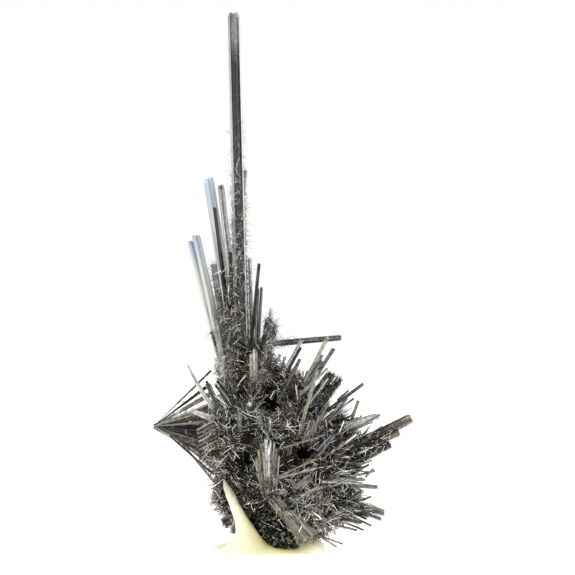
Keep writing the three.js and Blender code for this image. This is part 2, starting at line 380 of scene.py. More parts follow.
def close_tree(bench, geometry, finish):
    solid = bench.node("GeometryNodeRealizeInstances", None, {"Geometry": geometry})
    coated = bench.node("GeometryNodeSetMaterial", None, {"Geometry": solid, "Material": finish})
    bench.node("NodeGroupOutput", None, {"Geometry": coated})


def baked(holder):
    """The plain mesh that an object's modifiers make. The object itself goes."""
    graph = bpy.context.evaluated_depsgraph_get()
    made = bpy.data.meshes.new_from_object(
        holder.evaluated_get(graph), preserve_all_data_layers=True, depsgraph=graph
    )
    bpy.data.objects.remove(holder)
    return made


def run_tree(tree, start, values):
    """The plain mesh that a geometry tree makes from a start mesh and named values."""
    holder = make_object("holder", start)
    modifier = holder.modifiers.new("grow", "NODES")
    modifier.node_group = tree
    for item in tree.interface.items_tree:
        if item.in_out == "INPUT" and item.name in values:
            modifier[item.identifier] = values[item.name]
    return baked(holder)


# %% Nodes that all growth rules use
def store(bench, geometry, kind, name, value, domain="POINT"):
    """Keeps a value on the mesh under a name, for a finish or another rule to read."""
    return bench.node(
        "GeometryNodeStoreNamedAttribute",
        {"data_type": kind, "domain": domain},
        {"Geometry": geometry, "Name": name, "Value": value},
    )


def chance(bench, seed, low, high, kind="FLOAT", identity=None):
    """A random value per element, or per identity where one is given."""
    sockets = {"Min": low, "Max": high, "Seed": seed}
    if identity is not None:
        sockets["ID"] = identity
    return bench.node("FunctionNodeRandomValue", {"data_type": kind}, sockets)


def moved(bench, geometry, offset):
    return bench.node("GeometryNodeSetPosition", None, {"Geometry": geometry, "Offset": offset})


# %% The striated prism
PRISM_INPUTS = {
    "Vector": ("Root", "Tip", "Across"),
    "Float": (
        "Width", "Depth", "Groove", "Stagger", "Slant", "Tip Length", "Tip Taper", "Tip Width", "Bow",
        "Coat", "Coat Amount", "Film",
    ),
    "Int": ("Corners", "Rings", "Seed"),
    "Color": ("Tint", "Tip Tint"),
    "Material": ("Finish",),
}
HEXAGON_FLAT = math.cos(math.pi / 6)
TERRACE_DEPTH = 0.06
TERRACE_LOWEST, TERRACE_SPAN = 0.35, 0.62
COAT_FULL_SHARE = 0.55
ALMOST_TOP = 0.999


def prism_tree():
    tree, bench, given = geometry_tree("striated_prism", PRISM_INPUTS)
    cylinder = bench.node(
        "GeometryNodeMeshCylinder",
        {"fill_type": "TRIANGLE_FAN"},
        {"Vertices": given["Corners"], "Side Segments": given["Rings"], "Radius": 1.0, "Depth": 1.0},
    )
    x, y, z = bench.parts(bench.node("GeometryNodeInputPosition"))

    angle = bench.maths("ARCTAN2", y, x)
    corner = bench.maths("ROUND", (angle / math.tau + 1.0) * given["Corners"])
    corner = bench.maths("MODULO", corner, given["Corners"])
    seeds = [given["Seed"] + offset for offset in range(3)]
    groove, step, terrace = [chance(bench, seed, 0.0, 1.0, identity=corner) for seed in seeds]
    fold = bench.maths("MODULO", angle + math.tau, math.pi / 3) - math.pi / 6
    hexagon = HEXAGON_FLAT / bench.maths("COSINE", fold)

    axis = bench.vector("SUBTRACT", given["Tip"], given["Root"])
    length = bench.measure("LENGTH", axis)
    along = bench.vector("NORMALIZE", axis)
    through = bench.vector("CROSS_PRODUCT", along, given["Across"])

    height = z + 0.5
    at_tip = height > ALMOST_TOP
    body_share = 1.0 - given["Tip Length"] / length
    spread = given["Rings"] / (given["Rings"] - 1.0)
    share = at_tip + (1.0 - at_tip) * height * spread * body_share
    on_terrace = share > TERRACE_LOWEST + TERRACE_SPAN * terrace
    radius = hexagon * (1.0 - given["Groove"] * groove) * (1.0 - TERRACE_DEPTH * on_terrace)
    radius = radius * (1.0 + (given["Tip Width"] - 1.0) * share)
    radius = radius * (1.0 - (1.0 - given["Tip Taper"]) * at_tip)

    side = x * radius * given["Width"] * 0.5 + given["Bow"] * 4.0 * share * (1.0 - share)
    front = y * radius * given["Depth"] * (0.5 / HEXAGON_FLAT)
    rise = share * length - at_tip * (given["Stagger"] * step + given["Slant"] * (0.5 - 0.5 * x))
    spot = given["Root"]
    for direction, distance in ((along, rise), (given["Across"], side), (through, front)):
        spot = bench.vector("ADD", spot, bench.vector("SCALE", direction, distance))

    from_tip = (1.0 - share) * length / given["Film"]
    grain = bench.combine(bench.maths("ABSOLUTE", angle) / math.pi, share, from_tip)
    bare = bench.between(share, COAT_FULL_SHARE * given["Coat"], given["Coat"])
    geometry = store(bench, cylinder, "FLOAT_VECTOR", "grain", grain)
    geometry = store(bench, geometry, "FLOAT", "tone", groove)
    geometry = store(bench, geometry, "FLOAT", "coat", given["Coat Amount"] * (1.0 - bare))
    geometry = store(bench, geometry, "FLOAT_COLOR", "tint", given["Tint"])
    geometry = store(bench, geometry, "FLOAT_COLOR", "tip_tint", given["Tip Tint"])
    geometry = bench.node("GeometryNodeSetPosition", None, {"Geometry": geometry, "Position": spot})
    close_tree(bench, geometry, given["Finish"])
    return tree


striated_prism = prism_tree()
print("prism rule:", len(striated_prism.nodes), "nodes")

# %% [markdown]
# ## Where the crystals sit
# The solid model already has each prism in place, so its axis, width and depth are measured from its
# corners: the direction in which the corners spread most is the length, the next one is the width.
# That way no place is written down twice.

# %% Measuring a solid
HEART = sum(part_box("needle_mass"), Vector()) / 2
END_LAYER = 0.05
TOWARDS_CAMERA = Vector((0, -1, 0))


class Member:
    """One straight crystal: its two ends, the direction of its width, its width and its depth."""

    def __init__(self, root, tip, width, depth, across=None):
        self.root = Vector(root)
        self.tip = Vector(tip)
        self.width = width
        self.depth = depth
        along = (self.tip - self.root).normalized()
        across = TOWARDS_CAMERA.cross(along) if across is None else Vector(across)
        self.across = (across - along * across.dot(along)).normalized()
        self.look = {}

    def turned(self, degrees):
        """The same crystal, turned about its own length."""
        turn = Matrix.Rotation(math.radians(degrees), 3, self.tip - self.root)
        return Member(self.root, self.tip, self.width, self.depth, turn @ self.across)


def measured(node):
    """The crystal that a plain prism of the solid model stands for."""
    corners = np.array([vertex.co for vertex in frame["nodes"][node].data.vertices])
    centre = corners.mean(axis=0)
    directions = np.linalg.eigh(np.cov((corners - centre).T))[1]
    long, wide, thin = directions[:, 2], directions[:, 1], directions[:, 0]
    heights = (corners - centre) @ long
    layer = END_LAYER * np.ptp(heights)
    low_end = corners[heights < heights.min() + layer].mean(axis=0)
    high_end = corners[heights > heights.max() - layer].mean(axis=0)
    ends = sorted((Vector(low_end), Vector(high_end)), key=lambda end: (end - HEART).length)
    return Member(*ends, np.ptp(corners @ wide), np.ptp(corners @ thin), wide)


sample = measured("blue_prism")
print("blue prism:", round((sample.tip - sample.root).length / MM, 1), "mm long")

# %% [markdown]
# ## Tints
# Every tint is the colour that the metal gives to what it mirrors, as it would look on screen.
# Stibnite is lead grey, but old faces tarnish to blue and violet, and thin crusts turn others beige.

# %% Tints
STEEL = srgb(140, 139, 138)
GRAPHITE = srgb(88, 86, 85)
LEAD = srgb(172, 172, 171)
SLATE = srgb(142, 145, 152)
SILVER = srgb(222, 225, 224)
WHITE = srgb(248, 248, 244)
BLUE = srgb(206, 219, 236)
LILAC = srgb(202, 200, 212)
BLUE_GREY = srgb(188, 195, 211)
PEARL = srgb(226, 227, 222)
GREENISH = srgb(206, 208, 202)
BEIGE = srgb(196, 194, 180)
OLIVE = srgb(160, 152, 118)
BROWN = srgb(140, 131, 115)
VIOLET = srgb(138, 136, 147)
SAND = srgb(168, 164, 146)
PINK = srgb(236, 234, 224)
print("graphite mirrors", round(GRAPHITE[0], 2), "of the red light, white", round(WHITE[0], 2))

# %% [markdown]
# ## Prisms that grew together
# Some solids of the model are several prisms in one. Their corners can't be told apart by measuring, so the
# ends of each member are listed here in mm. Each member is grown on its own and then joined.
# The fan on the left is the largest: blades that all meet at one point, with dark webs behind them. The
# webs are painted shade: dark sheets that stand for the shaded hollow inside the fan.
# The pale bundle in front is a set of laths that opens upwards from one root.

# %% Members
FAN_APEX = (-24.9, -1.4, 27.5)
FRONT_ROOT_X, FRONT_ROOT_Y, FRONT_ROOT_Z = 0.3, -7.4, 13.2
FRONT_ROOT_SPREAD = 0.60
FRONT_TIP_Y, FRONT_TIP_ROUNDING = -12.4, 0.25


def grown(root, tip, width, depth, **look):
    """A member of a grown-together solid: its ends and its size in mm, and where its look differs."""
    one = Member(Vector(root) * MM, Vector(tip) * MM, width * MM, depth * MM)
    one.look = look
    return one


def fan_blade(end, width, depth, **look):
    return grown(end, FAN_APEX, width, depth, tip_width=0.3, stagger=0.0, coat=0.7, **look)


def front_lath(aside, top, width, tint):
    root = (FRONT_ROOT_X + FRONT_ROOT_SPREAD * aside, FRONT_ROOT_Y, FRONT_ROOT_Z)
    tip = (aside, FRONT_TIP_Y + FRONT_TIP_ROUNDING * abs(aside), top)
    return grown(root, tip, width, 0.8, tint=tint, finish="pale_beige", stagger=1.2, coat=0.8, amount=1.5)


GROWN_TOGETHER = {
    "tall_prism": [
        grown((-5.1, 0.5, 30), (-7.4, 1.5, 118.6), 3.0, 2.3),
        grown((-5.9, 0.6, 71), (-4.7, 0.8, 83.8), 0.9, 0.8),
        grown((-6.9, 0.1, 58), (-8.4, 1.1, 117.9), 0.75, 1.6, tint=SILVER, finish="blue_silver", coat=0.3),
        grown((-4.3, -0.4, 43), (-6.15, 1.2, 117.5), 0.45, 1.5, tint=WHITE, finish="blue_silver", coat=0.3),
    ],
    "left_pair": [
        grown((-7.8, -1.2, 34), (-15.6, -0.8, 69.7), 1.85, 1.3),
        grown((-8.4, -1.0, 34.5), (-16.9, -0.5, 68.4), 1.4, 1.1),
    ],
    "slim_pair": [
        grown((-2.8, 0.2, 38), (-2.0, 0.2, 57.9), 0.7, 0.6),
        grown((-2.3, 0.2, 38), (-1.2, 0.2, 58.1), 0.7, 0.6, tint=STEEL),
    ],
    "spray_twin": [
        grown((0.6, -1.0, 33.6), (7.7, -0.6, 46.6), 0.9, 0.7),
        grown((1.0, -1.3, 33.2), (7.5, -1.2, 44.9), 0.65, 0.6, tint=GRAPHITE),
    ],
    "white_blade": [
        grown((14.5, -4.6, 26.8), (24.7, -4.6, 30.0), 2.2, 0.5, tint=PEARL, tip_width=0.75),
        grown((14.5, -4.8, 24.5), (24.9, -4.8, 30.3), 0.5, 0.6, tint=STEEL),
    ],
    "right_long_prism": [
        grown((15.7, -1.0, 21.4), (31.8, -1.0, 29.3), 1.9, 1.5),
        grown((16.5, -1.0, 21.1), (29.2, -1.0, 26.1), 1.3, 1.1),
    ],
    "low_twin": [
        grown((11.5, -7.2, 6.6), (19.8, -5.6, 11.2), 1.0, 0.8),
        grown((11.7, -7.2, 6.8), (20.7, -5.0, 13.4), 0.9, 0.8, tint=STEEL),
    ],
    "yellow_fork": [
        grown((1.4, -9.4, 16.5), (10.8, -11.0, 21.1), 0.6, 0.5),
        grown((1.4, -9.4, 16.4), (10.6, -11.0, 18.9), 0.7, 0.5, tint=BEIGE),
    ],
    "front_triplet": [
        front_lath(-2.3, 21.2, 0.5, SAND),
        front_lath(-1.8, 23.4, 0.6, BEIGE),
        front_lath(-1.3, 24.6, 0.6, OLIVE),
        front_lath(-0.8, 23.2, 0.7, BEIGE),
        front_lath(-0.2, 25.6, 1.0, WHITE),
        front_lath(0.4, 24.5, 0.9, WHITE),
        front_lath(0.8, 25.3, 0.6, PEARL),
        front_lath(1.2, 22.8, 0.5, STEEL),
        front_lath(1.6, 24.7, 0.6, BEIGE),
        front_lath(2.1, 23.6, 0.5, SAND),
        front_lath(2.7, 21.9, 0.5, BEIGE),
    ],
    "left_fan": [
        fan_blade((-12.4, 0.9, 39.6), 0.55, 0.75, tint=GRAPHITE),
        fan_blade((-13.4, 0.2, 36.0), 0.85, 0.75, tint=GRAPHITE),
        fan_blade((-12.4, -0.8, 34.6), 1.2, 0.75, tint=STEEL),
        fan_blade((-12.4, -1.6, 32.5), 0.6, 0.75, tint=PEARL, finish="pale_beige"),
        fan_blade((-12.4, -1.5, 31.9), 0.7, 0.75, tint=BROWN, finish="dull_grey"),
        fan_blade((-12.4, -1.6, 31.2), 0.7, 0.75, tint=BEIGE, finish="pale_beige"),
        fan_blade((-12.2, -1.4, 28.6), 0.9, 0.75, tint=SAND, finish="pale_beige"),
        fan_blade((-12.2, -1.0, 26.2), 0.7, 0.75, tint=GRAPHITE),
        fan_blade((-12.2, -1.0, 23.4), 0.7, 0.75, tint=STEEL),
        fan_blade((-12.2, -1.4, 19.8), 0.9, 0.75, tint=BEIGE),
        grown((-11.6, -0.9, 15.1), (-19.0, -1.3, 24.1), 0.6, 0.6, tint=LEAD),
        grown((-12.4, -1.6, 17.4), (-21.4, -1.5, 25.4), 0.5, 0.5, tint=GRAPHITE),
        grown((-11.4, -1.4, 18.2), (-20.6, -1.6, 25.4), 0.6, 0.5, tint=BROWN),
        # These three broad dark webs are painted shade: sheets that stand for the shaded hollow between the
        # blades.
        fan_blade((-12.0, 0.4, 30.0), 4.2, 0.4, tint=BROWN, finish="dull_grey"),
        fan_blade((-12.0, 0.2, 26.0), 4.2, 0.4, tint=GRAPHITE, finish="dull_grey"),
        fan_blade((-12.0, 0.3, 22.0), 4.2, 0.4, tint=BROWN, finish="dull_grey"),
    ],
}
print("grown together:", len(GROWN_TOGETHER), "solids,", sum(map(len, GROWN_TOGETHER.values())), "members")

# %% [markdown]
# ## Sheaves
# Seen close, some of the broader prisms are sheaves: thin laths side by side that end at different heights.
# One broad prism with deep grooves would look too neat, so a sheaf shares the width of the measured solid
# out among its laths. Each lath starts late, ends early and wanders a little, by seeded chance.

# %% Sheaves
LATH_OVERLAP = 1.7
LATH_SHORTENING = 0.35
LATH_WANDER = 0.12
LONG_SHEAVES = {"olive_band": 0.20, "hanging_prism": 0.15, "pale_blade": 0.12}
SUNK_ROOTS = {"pale_blade": 2.0 * MM}
SHEAVES = {
    "brown_blade": (SAND, BROWN, GRAPHITE, SAND, BROWN, STEEL),
    "fuzzy_stump": (GRAPHITE, GRAPHITE, STEEL, GRAPHITE, GRAPHITE),
    "pale_blade": (SAND, PEARL, SAND, BEIGE),
    "violet_prism": (VIOLET, GRAPHITE, VIOLET),
    "beige_prism": (SAND, BEIGE, BROWN),
    "thick_beige_prism": (BEIGE, SAND, GRAPHITE),
    "cross_prism": (BEIGE, SAND, STEEL),
    "olive_band": (BROWN, SAND, OLIVE, SAND, GRAPHITE, BEIGE, OLIVE, SAND),
    "hanging_prism": (GRAPHITE, LEAD, GRAPHITE, BEIGE),
    "lower_fuzzy_prism": (SAND, STEEL, BEIGE, GRAPHITE, SAND, BEIGE),
    "lower_short_prism": (BEIGE, GRAPHITE, SAND),
    "slant_blade": (LEAD, GRAPHITE, LEAD),
    "striped_stub": (STEEL, GRAPHITE, SAND),
    "line_stub": (GRAPHITE, SAND, GRAPHITE),
}


def sheaf(node):
    """The laths that share the width of one solid."""
    whole = measured(node)
    tints = SHEAVES[node]
    through = (whole.tip - whole.root).normalized().cross(whole.across)
    draw = np.random.default_rng(len(node) + 7 * len(tints))
    shortening = LONG_SHEAVES.get(node, LATH_SHORTENING)
    laths = []
    for i, tint in enumerate(tints):
        aside = whole.across * whole.width * ((i + 0.5) / len(tints) - 0.5)
        root = whole.root.lerp(whole.tip, draw.uniform(0, shortening)) + aside
        root.y += SUNK_ROOTS.get(node, 0.0)
        tip = whole.tip.lerp(whole.root, draw.uniform(0, shortening)) + aside
        tip += whole.across * (whole.width * LATH_WANDER * draw.uniform(-1, 1))
        tip += through * (whole.width * LATH_WANDER * draw.uniform(-1, 1))
        lath = Member(root, tip, LATH_OVERLAP * whole.width / len(tints), whole.depth)
        lath.look = {"tint": tint}
        laths.append(lath)
    return laths


print("sheaves:", len(SHEAVES), "solids,", sum(map(len, SHEAVES.values())), "laths")

# %% [markdown]
# ## How each prism looks
# The slot of the record gives the finish, and every prism of a slot starts with the usual look.
# This list says where a prism differs: its tint and the tint of its tip, how far the felt creeps up it
# (coat) and how thick it is there (amount), how it is turned, and how ragged (stagger) its end is.

# %% Looks
USUAL_LOOK = dict(
    stagger=0.35, slant=0.0, turn=0, widen=1.0, taper=0.88, tip_width=1.0, bow=0.0, coat=0.35, amount=0.6,
)
SLOT_LOOKS = {
    "dark_steel": dict(tint=STEEL),
    "lead_grey": dict(tint=LEAD),
    "blue_silver": dict(tint=SILVER, tip=BLUE, turn=24),
    "pale_beige": dict(tint=BEIGE),
}
LOOKS = {
    "tall_prism": dict(
        tint=SLATE, tip=SILVER, film=12.0, finish="lead_grey", coat=0.75, amount=1.3, stagger=0.25,
    ),
    "blue_prism": dict(slant=0.2, stagger=0.08, widen=1.15),
    "short_blue_prism": dict(tint=LEAD, tip=BLUE_GREY, coat=1.2, amount=1.2, stagger=0.1),
    "thin_dark_prism": dict(tint=GRAPHITE),
    "wide_dark_prism": dict(tint=GRAPHITE, coat=1.5, amount=1.1, stagger=1.2),
    "striped_prism": dict(tint=SILVER, coat=0.7, amount=1.0),
    "left_edge_prism": dict(tint=GRAPHITE, coat=1.4, amount=1.5),
    "left_pair": dict(
        tint=GREENISH, tip=BLUE_GREY, turn=20, slant=0.3, stagger=0.08, film=6.0, coat=0.2, widen=1.15,
    ),
    "light_grey_prism": dict(tint=WHITE, finish="dull_grey", turn=20, coat=0.6, amount=0.3),
    "slim_dark_prism": dict(tint=GRAPHITE),
    "coated_stump": dict(coat=1.4, amount=1.2, slant=1.2, taper=1.05),
    "lilac_prism": dict(tint=LILAC, turn=25),
    "level_prism": dict(tint=STEEL, finish="dull_grey", turn=12, coat=0.42, amount=2.0),
    "pale_blade": dict(coat=0.7, amount=1.3, stagger=0.8),
    "spray_twin": dict(tint=SILVER),
    "spray_rough": dict(finish="dull_grey", turn=25),
    "spray_long": dict(tint=SAND, finish="dull_grey", turn=28),
    "spray_lilac": dict(tint=LEAD, tip=LILAC, finish="dull_grey", widen=1.6),
    "spray_dark": dict(tint=STEEL, finish="dull_grey", turn=25),
    "spray_pale": dict(tint=SILVER),
    "spray_front": dict(tint=BEIGE, finish="pale_beige", turn=10, coat=0.4, amount=0.3, widen=0.75),
    "fuzzy_stump": dict(coat=1.6, amount=1.6, stagger=1.8, taper=1.0),
    "bright_sliver": dict(tint=BEIGE, turn=30),
    "slant_dark": dict(tint=BROWN, finish="dull_grey"),
    "white_blade": dict(tint=WHITE, stagger=0.2),
    "right_long_prism": dict(
        tint=GRAPHITE, tip=BROWN, film=6.0, turn=15, coat=1.5, amount=0.8, widen=1.3, stagger=0.15,
    ),
    "short_grey": dict(tint=SAND, finish="pale_beige", stagger=0.1),
    # The fuzzy stub's graphite tint is painted shade: it lies in the shadow under the right long prism.
    "fuzzy_stub": dict(tint=GRAPHITE, coat=1.5, amount=1.2),
    "lower_fuzzy_prism": dict(finish="dull_grey", coat=1.5, amount=1.2, widen=1.3),
    "olive_band": dict(coat=1.5, amount=0.5, stagger=1.5),
    "brown_blade": dict(coat=1.3, amount=0.6),
    "violet_prism": dict(coat=1.3, amount=0.5),
    "olive_prism": dict(tint=SAND, coat=1.4, amount=1.5, stagger=0.8),
    "yellow_fork": dict(tint=SAND, coat=1.3, amount=1.0, widen=0.8),
    "beige_prism": dict(coat=1.3, amount=0.8),
    "thick_beige_prism": dict(coat=1.3, amount=0.8),
    "lilac_end_prism": dict(tint=GRAPHITE, tip=LILAC, film=1.0, finish="blue_silver", stagger=0.05),
    "left_fan": dict(tint=LEAD, amount=0.8),
    "curved_blade": dict(tint=WHITE, tip_width=0.35, bow=0.5),
    "pink_blade": dict(tint=PINK, tip_width=0.5, coat=0.1),
    "hanging_prism": dict(finish="dull_grey", coat=0.9, amount=0.8),
    "hanging_stub": dict(coat=1.5, amount=1.4),
}
print("looks of their own:", len(LOOKS), "solids")

# %% [markdown]
# ## Growing the crystals
# One growth run per member, and one joined piece per solid of the model, so that each crystal stays a piece
# that can be picked up alone. Every piece rides on the one body, because nothing on a mineral moves.

# %% Growing one prism
LATH_MM = 0.30
GIRTH_PER_WIDTH = 2.6
FEWEST_CORNERS, MOST_CORNERS = 18, 48
PRISM_RINGS = 9
GROOVE_DEPTH = 0.10
TIP_MARGIN = 0.3
FILM_MM, NO_FILM_MM = 9.0, 0.01
start_mesh = bpy.data.meshes.new("start")


def grow(one, finish, seed, look):
    look = {**USUAL_LOOK, **look}
    corners = 6 * round(GIRTH_PER_WIDTH * (one.width / MM) / LATH_MM / 6)
    stagger = look["stagger"] * one.width
    slant = look["slant"] * MM
    one = one.turned(look["turn"])
    one.width = one.width * look["widen"]
    film_mm = look.get("film", FILM_MM if "tip" in look else NO_FILM_MM)
    return run_tree(striated_prism, start_mesh, {
        "Root": one.root, "Tip": one.tip, "Across": one.across, "Width": one.width, "Depth": one.depth,
        "Corners": min(MOST_CORNERS, max(FEWEST_CORNERS, corners)), "Rings": PRISM_RINGS,
        "Groove": GROOVE_DEPTH, "Stagger": stagger, "Slant": slant,
        "Tip Length": stagger + abs(slant) + TIP_MARGIN * one.width, "Tip Taper": look["taper"],
        "Tip Width": look["tip_width"], "Bow": look["bow"] * MM,
        "Coat": look["coat"], "Coat Amount": look["amount"],
        "Tint": look["tint"], "Tip Tint": look.get("tip", look["tint"]), "Film": film_mm * MM,
        "Seed": seed, "Finish": finish,
    })


# %% Joining and settling pieces
def join(name, meshes):
    """One object made of several meshes, which keeps what is stored on them."""
    pieces = [make_object(name, mesh) for mesh in meshes]
    if len(pieces) > 1:
        with bpy.context.temp_override(active_object=pieces[0], selected_editable_objects=pieces):
            bpy.ops.object.join()
    return pieces[0]


def settle(piece, node=None):
    """Puts a finished piece on the body and, if it has one, in place of its solid."""
    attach(piece, "root")
    if node:
        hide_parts(node)
    print(piece.name + ":", len(piece.data.polygons), "faces")


def grow_piece(name, members, slot, first_seed, look, node=None):
    meshes = []
    for i, one in enumerate(members):
        whole_look = {**SLOT_LOOKS[slot], **look, **one.look}
        finish = finishes[whole_look.get("finish", slot)]
        meshes.append(grow(one, finish, first_seed + 10 * i, whole_look))
    crystal = join(name, meshes)
    settle(crystal, node)
    return crystal


# %% Crystals
slots = {row["node"]: row["material_slot"] for row in frame["record"]["subparts"]}
crystals = {}
for number, (node, slot) in enumerate(slots.items()):
    if slot in finishes:
        members = sheaf(node) if node in SHEAVES else GROWN_TOGETHER.get(node) or [measured(node)]
        look = LOOKS.get(node, {})
        crystals[node] = grow_piece(node + "_crystal", members, slot, 1000 * number, look, node)
print("crystals:", len(crystals))

# %% [markdown]
# ## Slender prisms between the others
# Some prisms are too thin to be worth a solid of their own, such as the laths beside the tall prisms and
# two small bundles: one at the left, in front of the fan, and an olive one beside the putty. A bundle is
# a loop that steps from its first lath to its last. All are grown by the same rule and joined in one piece.

# %% Slender prisms
HAIRY = dict(coat=1.4)
PALE = dict(finish="pale_beige")
DULL = dict(finish="dull_grey")
slender = [
    grown((22.0, -2.0, 25.3), (25.4, -2.0, 27.6), 0.5, 0.5),
    grown((15.4, -2.0, 33.2), (18.0, -2.0, 35.5), 0.5, 0.5, tint=GRAPHITE),
    grown((12.8, -9.5, 26.2), (2.9, -11.5, 23.3), 0.5, 0.5, tint=SAND),
    grown((21.6, -2.0, 16.3), (23.5, -2.0, 18.3), 0.6, 0.5),
    grown((9.5, -4.6, 4.9), (15.4, -4.6, 1.1), 0.45, 0.4, tint=BEIGE, **PALE),
    grown((9.5, -4.0, 4.3), (16.8, -4.0, 1.75), 0.45, 0.4, tint=BEIGE, **PALE),
    grown((-8.6, -2.6, 38.0), (-9.7, -2.4, 62.0), 1.0, 0.8, tint=GRAPHITE, amount=1.0, **HAIRY),
    grown((-7.4, -2.8, 38.0), (-8.0, -2.6, 66.0), 1.0, 0.8, tint=GRAPHITE, amount=1.0, **HAIRY),
    grown((-8.2, -2.8, 38.0), (-10.2, -2.6, 57.0), 0.8, 0.7, tint=GRAPHITE, amount=0.8, **HAIRY),
    grown((-8.7, -3.3, 49.5), (-11.2, -2.6, 66.0), 0.35, 0.4, tint=SILVER, finish="blue_silver", coat=0.1),
    grown((-9.4, -2.8, 38.6), (-12.1, -2.0, 52.8), 0.9, 0.5, tint=PEARL, stagger=0.8, **PALE),
    grown((-8.9, -2.9, 38.4), (-11.1, -2.1, 51.2), 0.9, 0.5, tint=GREENISH, stagger=0.8, **PALE),
    grown((7.3, -0.9, 35.0), (12.2, -0.9, 42.0), 1.0, 0.7, tint=STEEL, **DULL),
    grown((16.7, -3.0, 7.3), (20.9, -3.0, 6.4), 0.7, 0.6, tint=SAND),
    grown((10.1, -7.0, 26.2), (13.4, -7.0, 33.2), 1.0, 0.8, tint=STEEL, **DULL),
    grown((-1.6, -8.0, 25.4), (-1.6, -12.4, 30.4), 1.2, 1.0, tint=LEAD, amount=1.4, **HAIRY),
    grown((0.7, -8.0, 25.0), (0.7, -12.4, 29.8), 1.0, 0.9, tint=SILVER, amount=1.4, **HAIRY),
]
print("slender prisms that stand alone:", len(slender))

# %% Two bundles of laths
LEFT_BUNDLE_FIRST = Vector((-15.4, -7.4, 27.0))
LEFT_BUNDLE_STEP = Vector((0.13, 0.0, -0.85))
LEFT_BUNDLE_LATH = Vector((3.8, 0.6, 2.0))
LEFT_BUNDLE_TINTS = (BEIGE, LEAD, SAND, SILVER, LEAD, BEIGE)
FOOT_BUNDLE_ROOTS = Vector((3.2, -9.6, 9.4)), Vector((5.6, -9.2, 9.6))
FOOT_BUNDLE_TIPS = Vector((7.4, -10.8, 2.3)), Vector((10.8, -10.0, 4.2))
FOOT_BUNDLE_TINTS = (OLIVE, SAND, BEIGE, SAND, BROWN, BEIGE, SAND)
FOOT_BUNDLE_LOOK = dict(stagger=1.2, coat=1.3, amount=0.5, **PALE)

for i, tint in enumerate(LEFT_BUNDLE_TINTS):
    end = LEFT_BUNDLE_FIRST + i * LEFT_BUNDLE_STEP
    slender.append(grown(end + LEFT_BUNDLE_LATH, end, 0.8, 0.6, tint=tint, tip_width=0.6, coat=0.6))
for i, tint in enumerate(FOOT_BUNDLE_TINTS):
    share = i / (len(FOOT_BUNDLE_TINTS) - 1)
    root = FOOT_BUNDLE_ROOTS[0].lerp(FOOT_BUNDLE_ROOTS[1], share)
    tip = FOOT_BUNDLE_TIPS[0].lerp(FOOT_BUNDLE_TIPS[1], share)
    slender.append(grown(root, tip, 0.8, 0.5, tint=tint, **FOOT_BUNDLE_LOOK))
crystals["slender"] = grow_piece("slender_crystals", slender, "lead_grey", 90000, {})
print("slender prisms:", len(slender))

# %% [markdown]
# ## The felt: a dark core
# Between the needles one looks into black gaps. A lumpy dark core fills the inside, so that no light shines
# through from behind, and its hollows give the felt its shaded pits. Its near-black colour is painted shade
# for the deep gaps. Sculpting it by hand could not be repeated, so it is a few overlapping balls, melted
# into one skin by voxel remeshing.

# %% Balls melted into one skin
CORE_LOBES = {
    "crown": ((-4.5, 2.0, 38.0), (5.6, 5.6, 8.0)),
    "shoulder": ((3.5, 1.5, 34.0), (5.2, 5.2, 5.6)),
    "heart": ((-2.0, 0.0, 24.6), (12.0, 10.6, 10.0)),
    "left_flank": ((-7.0, 2.0, 14.8), (4.4, 4.4, 7.8)),
    "right": ((11.0, 0.5, 22.0), (8.6, 9.6, 8.6)),
    "lower": ((5.5, 0.0, 13.0), (10.6, 9.4, 8.0)),
    "lower_right": ((13.5, 0.0, 11.0), (5.8, 6.8, 4.4)),
    "root": ((3.9, -2.6, 5.8), (6.4, 6.4, 4.6)),
    "root_tip": ((4.1, -6.4, 3.6), (3.0, 3.4, 2.8)),
    "behind_the_horn": ((-2.6, -1.5, 7.5), (3.0, 3.0, 3.5)),
    "low_right": ((10.5, -2.5, 7.2), (4.6, 5.0, 3.6)),
}
CORE_VOXEL = 0.8 * MM


def ball_cluster(lobes):
    balls = bmesh.new()
    for centre, half in lobes.values():
        place = Matrix.Translation(Vector(centre) * MM) @ Matrix.Diagonal((*(Vector(half) * MM), 1))
        bmesh.ops.create_icosphere(balls, subdivisions=4, radius=1.0, matrix=place)
    cluster = bpy.data.meshes.new("cluster")
    balls.to_mesh(cluster)
    balls.free()
    return cluster


def remeshed(mesh, voxel):
    """The skin of all the parts of a mesh together, as one closed mesh."""
    holder = make_object("holder", mesh)
    modifier = holder.modifiers.new("melt", "REMESH")
    modifier.mode = "VOXEL"
    modifier.voxel_size = voxel
    return baked(holder)


core_start = remeshed(ball_cluster(CORE_LOBES), CORE_VOXEL)
print("core: one skin from", len(CORE_LOBES), "balls")

# %% [markdown]
# ## The felt: where it grows
# A small rule pushes the skin in and out by noise, and deeper in at five hollows. Painting by hand where
# the felt grows would be lost with every new skin, so the same rule also stores three masks.
# The felt (coat) leaves out the hollows and the bare edge low at the front, which looks broken off its rock:
# there only grit sits (grit). Stiff needles fan out (spray) at the right and at the back.
# Places here are in mm, and a pair of them is where a mask starts and where it is full.

# %% Hollows and masks
HOLLOWS = {
    "under_the_stump": ((1.3, -5.0, 32.9), 4.6),
    "left_pit": ((-4.7, -8.8, 19.8), 4.8),
    "middle_pit": ((8.0, -8.0, 21.6), 4.6),
    "small_pit": ((-3.9, -10.0, 26.6), 3.2),
    "right_pit": ((18.5, -4.5, 20.5), 4.5),
}
HOLLOW_DEPTH = 4.0 * MM
HOLLOW_FLOOR = 0.55
BROKEN_EDGE = Vector((-5.9, 0, 14.5)) * MM
ACROSS_THE_EDGE = Vector((0.795, 0, 0.606))
FELT_FROM_EDGE = 1.0, 4.0
BEHIND_THE_BREAK = -3.0, -1.0
ABOVE_THE_BREAK = 9.0, 13.0
ABOVE_THE_TABLE = 2.5, 6.0
SPRAY_TO_THE_RIGHT = 4.0, 12.0
SPRAY_TO_THE_BACK = 3.0, 8.0
SPRAY_ABOVE_THE_TABLE = 5.0, 9.0


